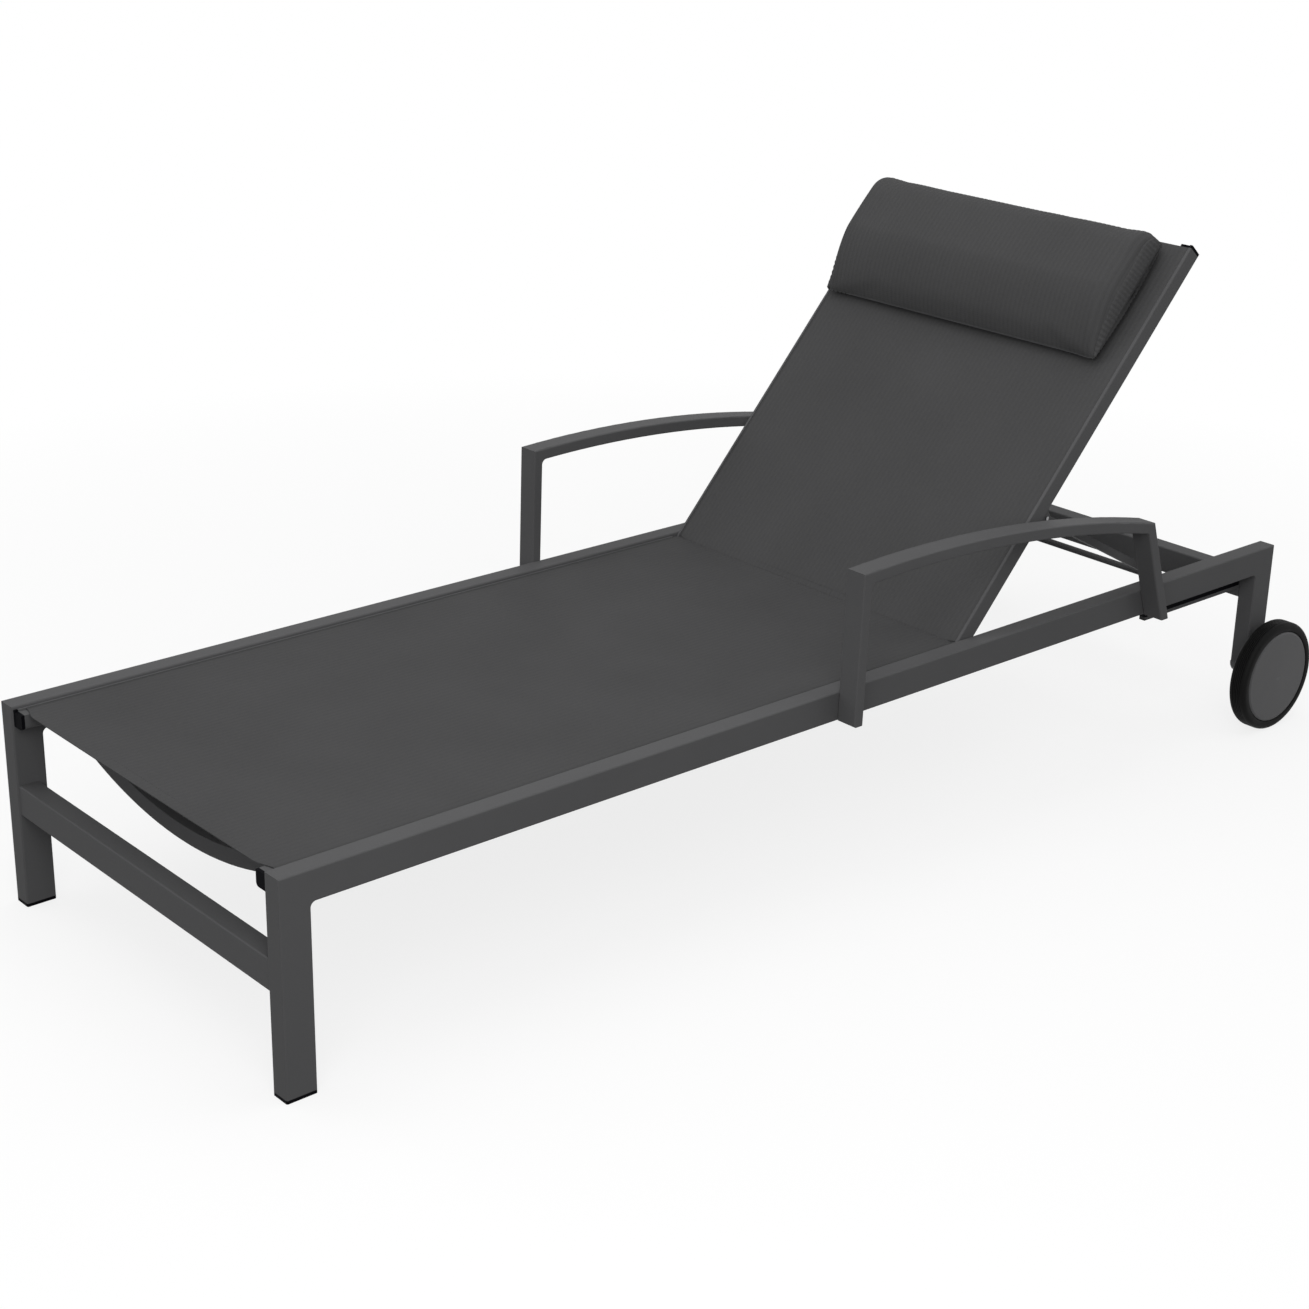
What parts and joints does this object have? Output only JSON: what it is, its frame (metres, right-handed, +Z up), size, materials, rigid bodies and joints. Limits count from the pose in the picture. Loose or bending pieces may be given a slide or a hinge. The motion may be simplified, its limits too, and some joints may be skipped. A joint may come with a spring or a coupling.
{
  "type": "reclining sun lounger",
  "caption": "Wheeled garden lounger: tubular frame with stretched fabric slings, an adjustable backrest on a folding prop, low arched armrests and a headrest pillow.",
  "frame": {"origin": "on the ground, midway along and across the whole lounger", "axes": "+Z up, +Y from the foot end to the head end, +X to the lounger's side that is on the right when it is seen from the foot end"},
  "size_m": [0.825, 2.0662, 0.8784],
  "materials": {
    "painted_frame": "satin",
    "painted_stay": "satin",
    "black_plastic": "matte",
    "grey_plastic": "satin",
    "steel": "satin",
    "sling_fabric": "matte",
    "pillow_fabric": "matte",
    "tyre_rubber": "matte"
  },
  "bodies": {
    "base": {"armrest_bolts": "steel", "armrest_bow_left": "painted_frame", "armrest_bow_right": "painted_frame", "armrest_front_post_left": "painted_frame", "armrest_front_post_right": "painted_frame", "armrest_rear_post_left": "painted_frame", "armrest_rear_post_right": "painted_frame", "axle_block_left": "grey_plastic", "axle_block_right": "grey_plastic", "axle_clips": "steel", "axle_left": "steel", "axle_right": "steel", "foot_cap_left": "black_plastic", "foot_cap_right": "black_plastic", "front_crossbar": "painted_frame", "front_leg_left": "painted_frame", "front_leg_right": "painted_frame", "hinge_bolt_left": "steel", "hinge_bolt_right": "steel", "hinge_washers": "black_plastic", "rack_bar_left": "painted_stay", "rack_bar_right": "painted_stay", "rack_left": "black_plastic", "rack_right": "black_plastic", "rack_screws": "steel", "rear_crossbar": "painted_frame", "rear_leg_left": "painted_frame", "rear_leg_right": "painted_frame", "seat_bow_front": "painted_frame", "seat_bow_middle": "painted_frame", "seat_bow_rear": "painted_frame", "seat_rail_left": "painted_frame", "seat_rail_plug_left": "black_plastic", "seat_rail_plug_right": "black_plastic", "seat_rail_right": "painted_frame", "seat_screws": "steel", "seat_sling": "sling_fabric", "side_rail_left": "painted_frame", "side_rail_right": "painted_frame"},
    "backrest": {"back_bow_lower": "painted_frame", "back_bow_upper": "painted_frame", "back_cap_left": "black_plastic", "back_cap_right": "black_plastic", "back_rail_left": "painted_frame", "back_rail_right": "painted_frame", "back_sling": "sling_fabric", "pillow": "pillow_fabric", "pillow_strips": "pillow_fabric", "prop_lug_left": "painted_stay", "prop_lug_right": "painted_stay", "prop_pins": "steel"},
    "prop": {"prop_arm_left": "painted_stay", "prop_arm_right": "painted_stay", "prop_rod": "painted_stay"},
    "wheel_left": {"tyre_left": "tyre_rubber", "wheel_hub_left": "grey_plastic", "hub_cap_left": "grey_plastic"},
    "wheel_right": {"tyre_right": "tyre_rubber", "wheel_hub_right": "grey_plastic", "hub_cap_right": "grey_plastic"}
  },
  "joints": [
    {"name": "back_recline", "type": "hinge", "parent": "base", "child": "backrest", "pos_m": [0, 0.20885, 0.29555], "axis": [1, 0, 0], "range_deg": [-48.2, 0]},
    {"name": "prop_fold", "type": "hinge", "parent": "backrest", "child": "prop", "pos_m": [0, 0.39989, 0.466], "axis": [1, 0, 0], "range_deg": [0, 77.3]},
    {"name": "wheel_spin_left", "type": "hinge", "parent": "base", "child": "wheel_left", "pos_m": [0, 0.93745, 0.0957], "axis": [1, 0, 0], "continuous": true},
    {"name": "wheel_spin_right", "type": "hinge", "parent": "base", "child": "wheel_right", "pos_m": [0, 0.93745, 0.0957], "axis": [1, 0, 0], "continuous": true}
  ],
  "couplings": [
    {"joint": "prop_fold", "follows": "back_recline", "ratio": -1.6037}
  ]
}
